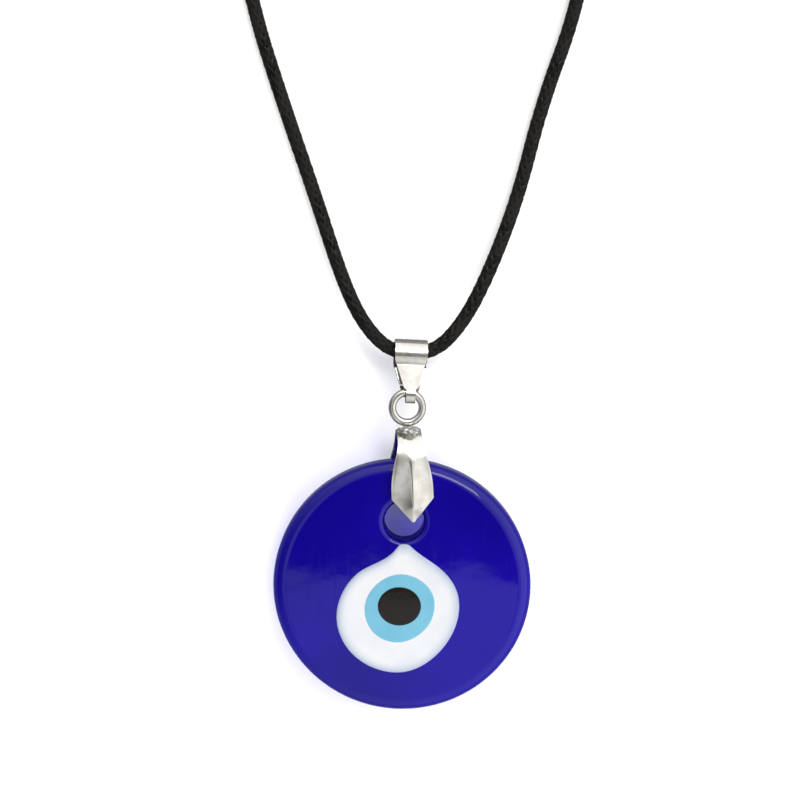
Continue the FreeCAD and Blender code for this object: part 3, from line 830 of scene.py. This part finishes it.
            ring = sketch.node("GeometryNodeStoreNamedAttribute", {
                "Geometry": ring, "Name": "strand_around",
                "Value": sketch.node("GeometryNodeSplineParameter").outputs["Factor"]},
                data_type="FLOAT", domain="POINT").outputs[0]
            tubes.append(sketch.node("GeometryNodeCurveToMesh", {
                "Curve": path, "Profile Curve": ring, "Fill Caps": True}).outputs[0])
        joined = sketch.node("GeometryNodeJoinGeometry", {0: tubes[0]})
        tree.links.new(tubes[1], joined.inputs[0])
        smooth = sketch.node("GeometryNodeSetShadeSmooth", {"Geometry": joined.outputs[0]}).outputs[0]
        real = sketch.node("GeometryNodeRealizeInstances", {"Geometry": smooth}).outputs[0]
        finished = sketch.node("GeometryNodeSetMaterial", {"Geometry": real, "Material": wax}).outputs[0]
        sketch.node("NodeGroupOutput", {"Braid": finished})
        return tree

    def build(self) -> bpy.types.Object:
        """Builds the cord in place of its CAD solids.

        Returns:
            The cord's object.
        """
        path = self.centreline()
        mesh = bpy.data.meshes.new("cord_line")
        mesh.from_pydata([tuple(p) for p in path], [(i, i + 1) for i in range(len(path) - 1)], [])
        carrier = bpy.data.objects.new("cord_line", mesh)
        bpy.context.scene.collection.objects.link(carrier)
        tree = self.braid_tree(BLACK_WAX.material())
        braid = carrier.modifiers.new("braid", "NODES")
        braid.node_group = tree
        sizes = {"Step": self.step, "Pairs": self.pairs, "Twist Pitch": self.twist_pitch,
                 "Strand Radius": self.strand, "Seat": self.seat, "Weave": self.weave,
                 "Core Radius": self.core}
        for item in tree.interface.items_tree:
            if item.in_out == "INPUT" and item.name in sizes:
                braid[item.identifier] = sizes[item.name]
        made = evaluated_mesh(carrier)
        bpy.data.objects.remove(carrier)
        made.name = "waxed_cord"
        cord = bpy.data.objects.new("waxed_cord", made)
        bpy.context.scene.collection.objects.link(cord)
        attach(cord, Body.NECK.value)
        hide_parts("neck_cord", "cord_coil_left", "cord_coil_right",
                    "cord_tail_left", "cord_tail_right")
        run = sum((b - a).length for a, b in zip(path, path[1:]))
        LOG.info("waxed_cord %d faces, line %.1f mm", len(made.polygons), run / MM)
        return cord


# ------------------------------------------------------------------ glass
class DiscFrame:
    """The disc's own directions, from the joint that it turns on, and heights over its face."""

    def __init__(self) -> None:
        """Reads the tilt from the joint and the middle of the eye from its node."""
        joint = next(j for j in frame["joints"] if j["name"] == "disc_on_prongs")
        self.out = Vector(joint["axis"]).normalized()
        self.right = Vector((1.0, 0.0, 0.0))
        self.up = self.out.cross(self.right).normalized()
        low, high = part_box("eye_pupil_glass")
        self.origin = (low + high) / 2
        self.face = max(self.local(v.co).z for v in frame["nodes"]["glass_disc"].data.vertices)

    def local(self, point: Vector) -> Vector:
        """A point of the necklace in the disc's directions: right, up and out of its face."""
        away = point - self.origin
        return Vector((away.dot(self.right), away.dot(self.up), away.dot(self.out)))

    def world(self, x: float, y: float, z: float) -> Vector:
        """A point given in the disc's directions, in the necklace's frame."""
        return self.origin + self.right * x + self.up * y + self.out * z


@dataclass
class EyeLayer:
    """One layer of glass melted into the disc: a soft-shouldered pool under a low dome."""

    node: str
    finish: Glass
    slot: Slot
    rise: float
    sink: float
    depth: float
    shoulder: float = 0.45 * MM
    spread: float = 0.03 * MM
    dome: float = 420.0 * MM
    swell: float = 0.22 * MM
    around: int = 144
    insets: tuple[float, ...] = (0.0, 0.03, 0.07, 0.13, 0.2, 0.3, 0.45, 0.65, 0.9, 1.2, 1.5)
    inner: tuple[float, ...] = (0.85, 0.68, 0.5, 0.32, 0.15)
    edge_reach: float = 1.35 * MM
    edge_strength: float = 1.0
    tip: Optional[tuple[float, float]] = None
    outside: float = 20 * MM
    most_inwards: float = 0.6

    def outline(self, disc: DiscFrame) -> list[Vector]:
        """The layer's edge, read from its CAD node by looking inwards from outside.

        Args:
            disc: The disc's directions.

        Returns:
            Points (x, y) in the disc's directions, counter-clockwise.
        """
        mesh = frame["nodes"][self.node].data
        points = [disc.local(v.co) for v in mesh.vertices]
        tree = BVHTree.FromPolygons(points, [tuple(p.vertices) for p in mesh.polygons])
        level = (min(p.z for p in points) + disc.face) / 2
        edge = []
        for i in range(self.around):
            angle = 2 * math.pi * i / self.around
            way = Vector((math.cos(angle), math.sin(angle), 0.0))
            hit = tree.ray_cast(way * self.outside + Vector((0, 0, level)), -way)[0]
            edge.append(way * (hit.xy.length + self.spread))
        return edge

    def build(self, disc: DiscFrame) -> bpy.types.Object:
        """Builds the layer in place of its CAD node.

        Args:
            disc: The disc's directions.

        Returns:
            The layer's object.
        """
        edge = self.outline(disc)
        rings = []
        for inset in self.insets:
            rings.append([(p * (1 - min(inset * MM / p.length, self.most_inwards)), inset * MM)
                          for p in edge])
        last = rings[-1]
        rings += [[(p * share, self.insets[-1] * MM) for p, _ in last] for share in self.inner]
        points, edge_tint_shares = [], []
        for ring in rings:
            for p, inset in ring:
                points.append(self.skin(disc, p, inset))
                # Share of the edge colour, fading in over edge_reach from the outline: on the white partly
                # painted shade; the tip share is the glass thinning
                fade = max(0.0, 1 - inset / self.edge_reach)
                edge_tint_share = 0.0
                if self.tip is not None:
                    edge_tint_share = min(1.0, max(0.0, (p.y - self.tip[0]) / (self.tip[1] - self.tip[0])))
                edge_tint_shares.append(max(self.edge_strength * fade * fade, edge_tint_share))
        points.append(self.skin(disc, Vector((0, 0, 0)), self.insets[-1] * MM))
        edge_tint_shares.append(0.0)
        n, middle = self.around, len(points) - 1
        faces = [(j * n + i, j * n + (i + 1) % n, (j + 1) * n + (i + 1) % n, (j + 1) * n + i)
                 for j in range(len(rings) - 1) for i in range(n)]
        top = (len(rings) - 1) * n
        faces += [(top + i, top + (i + 1) % n, middle) for i in range(n)]
        under = len(points)
        points += [disc.world(p.x, p.y, disc.face - self.depth) for p in edge]
        points.append(disc.world(0, 0, disc.face - self.depth))
        edge_tint_shares += [1.0] * (n + 1)
        faces += [(under + i, under + (i + 1) % n, (i + 1) % n, i) for i in range(n)]
        faces += [(under + (i + 1) % n, under + i, under + n) for i in range(n)]
        layer = link_mesh("melted_" + self.node, points, faces)
        layer.data.attributes.new("edge_tint_and_painted_shade", "FLOAT", "POINT").data.foreach_set("value", edge_tint_shares)
        set_material(layer, self.finish.material())
        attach(layer, Body.DISC.value)
        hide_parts(self.node)
        LOG.info("%s %d faces", layer.name, len(faces))
        return layer

    def skin(self, disc: DiscFrame, at: Vector, inset: float) -> Vector:
        """The layer's surface over a point of its outline plan.

        Args:
            disc: The disc's directions.
            at: The point in the disc's plane.
            inset: How far it is inside the layer's edge.

        Returns:
            The point on the surface.
        """
        dome = disc.face + self.swell - at.length_squared / (2 * self.dome)
        foot = (disc.face if self.rise == 0 else dome) - self.sink
        bend = min(1.0, inset / self.shoulder)
        round_up = math.sqrt(max(0.0, 1 - (1 - bend) ** 2))
        return disc.world(at.x, at.y, foot + (dome + self.rise - foot) * round_up)


class GlassDisc:
    """The cobalt disc and the three layers of its eye."""

    def __init__(self) -> None:
        """Takes the disc's directions from the model."""
        self.disc = DiscFrame()
        self.layers = (
            EyeLayer("eye_white_glass", WHITE, Slot.WHITE, 0.0, 0.03 * MM, 1.2 * MM, shoulder=0.6 * MM,
                     tip=(5.9 * MM, 7.4 * MM)),
            EyeLayer("eye_light_blue_glass", LIGHT_BLUE, Slot.LIGHT_BLUE, 0.05 * MM, 0.03 * MM, 0.5 * MM,
                     shoulder=0.2 * MM, edge_reach=0.3 * MM, edge_strength=0.6),
            EyeLayer("eye_pupil_glass", DARK, Slot.DARK, 0.10 * MM, 0.0, 0.2 * MM,
                     shoulder=0.12 * MM, edge_reach=0.25 * MM, edge_strength=0.7),
        )

    def build(self) -> None:
        """Dresses the disc and builds the eye's layers."""
        dress(["glass_disc"], COBALT.material())
        for layer in self.layers:
            layer.build(self.disc)


# ------------------------------------------------------------------ metal
class HangerFrame:
    """The pinch bail's own directions: the middle between its prongs, right, up and out."""

    def __init__(self) -> None:
        """Reads them from the two joints that the pinch bail turns on."""
        joints = {j["name"]: j for j in frame["joints"]}
        self.origin = Vector(joints["disc_on_prongs"]["pos_m"])
        self.right = Vector(joints["ring_in_bail"]["axis"]).normalized()
        rise = Vector(joints["ring_in_bail"]["pos_m"]) - self.origin
        self.up = (rise - self.right * rise.dot(self.right)).normalized()
        self.out = self.right.cross(self.up)

    def world(self, x: float, y: float, z: float) -> Vector:
        """A point given in millimetres in the bail's directions, in the necklace's frame."""
        return self.origin + (self.right * x + self.up * y + self.out * z) * MM


def between(table: Sequence[tuple[float, float]], at: float) -> float:
    """A smooth curve through (position, value) pairs.

    Args:
        table: The pairs, positions rising.
        at: Where the curve is read.

    Returns:
        The value there, held level past either end.
    """
    if at <= table[0][0]:
        return table[0][1]
    if at >= table[-1][0]:
        return table[-1][1]
    i = next(k for k in range(1, len(table)) if at <= table[k][0])
    (x0, y0), (x1, y1) = table[i - 1], table[i]
    before, after = table[max(i - 2, 0)], table[min(i + 1, len(table) - 1)]
    t, wide = (at - x0) / (x1 - x0), x1 - x0
    slope0 = (y1 - before[1]) / (x1 - before[0]) * wide
    slope1 = (after[1] - y0) / (after[0] - x0) * wide
    return ((2 * t**3 - 3 * t**2 + 1) * y0 + (t**3 - 2 * t**2 + t) * slope0
            + (3 * t**2 - 2 * t**3) * y1 + (t**3 - t**2) * slope1)


def settled(piece: bpy.types.Object) -> bpy.types.Object:
    """Applies a piece's modifiers and shades it smooth.

    Args:
        piece: A mesh object with modifiers.

    Returns:
        The same object.
    """
    mesh = evaluated_mesh(piece)
    piece.modifiers.clear()
    piece.data = mesh
    mesh.polygons.foreach_set("use_smooth", [True] * len(mesh.polygons))
    return piece


@dataclass
class PinchBail:
    """One strip of sheet metal stamped into two ridged leaves and folded over the disc's rim.

    Sizes are in millimetres. The tables give (height over the prongs, size) pairs.
    """

    sheet: float = 0.42
    half_gap: float = 3.025
    tip: float = -1.4
    widest: float = 1.3
    half_wide: float = 2.4
    crown_from: float = 5.5
    crown_top: float = 8.9
    apex: float = 0.3
    apex_high: float = 0.86
    ridge_round: tuple[tuple[float, float], ...] = (
        (-1.4, 0.035), (3.6, 0.045), (5.6, 0.30), (7.0, 0.80), (9.0, 1.0),
    )
    hollow: float = 1.3
    rows: int = 46
    crown_rows: int = 36
    columns: int = 28
    crowding: float = 0.65
    narrowest: float = 0.1
    crease: float = 0.03
    edge_round: float = 0.12
    edge_steps: int = 3
    edge_angle: float = 55.0
    sides: tuple[tuple[float, float], ...] = (
        (1.3, 2.4), (3.2, 2.34), (5.1, 2.02), (6.6, 1.62), (7.6, 1.44), (9.0, 1.40),
    )
    ridge: tuple[tuple[float, float], ...] = (
        (0.3, 0.86), (2.5, 0.72), (5.0, 0.50), (6.6, 0.33), (7.8, 0.17), (9.0, 0.04),
    )

    def half_width(self, up: float) -> float:
        """Half the leaf's width at a height.

        Args:
            up: From the prongs, in millimetres.

        Returns:
            The half width in millimetres.
        """
        if up >= self.widest:
            return between(self.sides, up)
        share = (up - self.tip) / (self.widest - self.tip)
        return max(self.narrowest, self.half_wide * share)

    def bulge(self, across: float, up: float) -> float:
        """How far the leaf stands out over its edges.

        Args:
            across: From the middle, in millimetres.
            up: From the prongs, in millimetres.

        Returns:
            The height in millimetres.
        """
        soft = math.hypot(across, between(self.ridge_round, up))
        share = min(1.0, soft / max(self.half_width(up), self.narrowest))
        roof = between(self.ridge, up) * (1 - share) ** self.hollow
        run = Vector((self.half_wide, self.widest - self.tip))
        reach = (run.x * (up - self.tip) - run.y * soft) / run.length
        apex_reach = run.x * (self.apex - self.tip) / run.length
        low = self.apex_high * max(0.0, reach) / apex_reach
        high = max(self.crease - abs(roof - low), 0.0) / self.crease
        return min(roof, low) - high * high * self.crease / 4

    def build(self, hanger: HangerFrame) -> bpy.types.Object:
        """Builds the bail in place of its CAD node.

        Args:
            hanger: The bail's directions.

        Returns:
            The bail's object.
        """
        path = []
        for i in range(self.rows + 1):
            share = i / self.rows
            path.append((self.tip + (self.crown_from - self.tip) * share, self.half_gap, 0.0, 1.0))
        arch = self.crown_top - self.crown_from
        for i in range(1, self.crown_rows):
            turn = math.pi * i / self.crown_rows
            path.append((self.crown_from + arch * math.sin(turn), self.half_gap * math.cos(turn),
                         math.sin(turn), math.cos(turn)))
        path += [(up, -out, rise, -face) for up, out, rise, face in path[self.rows::-1]]
        points = []
        for up, out, rise, face in path:
            wide = self.half_width(up)
            for j in range(self.columns + 1):
                lean = 2 * j / self.columns - 1
                across = wide * lean * (1 - self.crowding + self.crowding * abs(lean))
                high = self.bulge(across, up) * math.sqrt(abs(face))
                points.append(hanger.world(across, up + rise * high, out + face * high))
        bail = link_mesh("stamped_pinch_bail", points, grid_faces(len(path) - 1, self.columns))
        wall = bail.modifiers.new("wall", "SOLIDIFY")
        wall.thickness, wall.offset, wall.use_even_offset = self.sheet * MM, 0.0, True
        rim = bail.modifiers.new("rim", "BEVEL")
        rim.width, rim.segments = self.edge_round * MM, self.edge_steps
        rim.limit_method, rim.angle_limit = "ANGLE", math.radians(self.edge_angle)
        settled(bail)
        set_material(bail, NICKEL.material())
        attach(bail, Body.HANGER.value)
        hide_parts("pinch_bail")
        LOG.info("%s %d faces", bail.name, len(bail.data.polygons))
        return bail


@dataclass
class SolderSeam:
    """The rough lump of solder that holds the ring on the crown, in millimetres."""

    right: float = 0.0
    up: float = 8.95
    out: float = 1.0
    half: tuple[float, float, float] = (1.3, 0.5, 1.45)
    lumps: float = 0.28
    lump_size: float = 4.8
    lump_smooth: float = 0.6
    lump_finer: float = 2.0
    lump_octaves: int = 4
    around: int = 48
    rows: int = 24

    def build(self, hanger: HangerFrame) -> bpy.types.Object:
        """Builds the seam in place of its CAD node.

        Args:
            hanger: The bail's directions.

        Returns:
            The seam's object.
        """
        points = []
        for j in range(1, self.rows):
            fall = math.pi * j / self.rows
            for i in range(self.around):
                turn = 2 * math.pi * i / self.around
                points.append(self.skin(hanger, Vector((
                    math.cos(fall), math.sin(fall) * math.cos(turn), math.sin(fall) * math.sin(turn)))))
        points += [self.skin(hanger, Vector((x, 0.0, 0.0))) for x in (1.0, -1.0)]
        n = self.around
        faces = [(j * n + (i + 1) % n, j * n + i, (j + 1) * n + i, (j + 1) * n + (i + 1) % n)
                 for j in range(self.rows - 2) for i in range(n)]
        last, first_pole = (self.rows - 2) * n, len(points) - 2
        faces += [(i, (i + 1) % n, first_pole) for i in range(n)]
        faces += [(last + (i + 1) % n, last + i, first_pole + 1) for i in range(n)]
        seam = link_mesh("solder_seam", points, faces)
        set_material(seam, CROWN_SOLDER.material())
        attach(seam, Body.HANGER.value)
        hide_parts("ring_solder")
        LOG.info("%s %d faces", seam.name, len(faces))
        return seam

    def skin(self, hanger: HangerFrame, way: Vector) -> Vector:
        """The seam's lumpy surface in one direction from its middle.

        Args:
            hanger: The bail's directions.
            way: The direction, of length one.

        Returns:
            The point on the surface.
        """
        lump = noise.fractal(way * self.lump_size, self.lump_smooth, self.lump_finer, self.lump_octaves)
        size = 1 + self.lumps * lump
        x, y, z = (w * h * size for w, h in zip(way, self.half))
        return hanger.world(self.right + x, self.up + y, self.out + z)


class Fittings:
    """The bails, ring, cord ends and clasp: CAD nodes in plated or bare metal."""

    plated: tuple[str, ...] = ("pinch_bail_front_prong", "pinch_bail_back_prong", "top_ring",
                               "folded_bail", "cord_end_left", "cord_end_right", "clasp_ring", "end_ring",
                               "clasp_body", "clasp_trigger")
    bare: tuple[str, ...] = ("clasp_pin", "clasp_spring")

    def build(self) -> None:
        """Dresses the metal nodes and builds the pinch bail and its solder."""
        dress(self.plated, NICKEL.material())
        dress(self.bare, STEEL.material())
        hanger = HangerFrame()
        PinchBail().build(hanger)
        SolderSeam().build(hanger)


def main() -> None:
    """Builds the studio and the necklace, logging what it builds."""
    logging.basicConfig(level=logging.INFO, format="%(name)s: %(message)s")
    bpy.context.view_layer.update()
    Studio().build()
    WaxedCord().build()
    GlassDisc().build()
    Fittings().build()


if __name__ == "__main__":
    main()
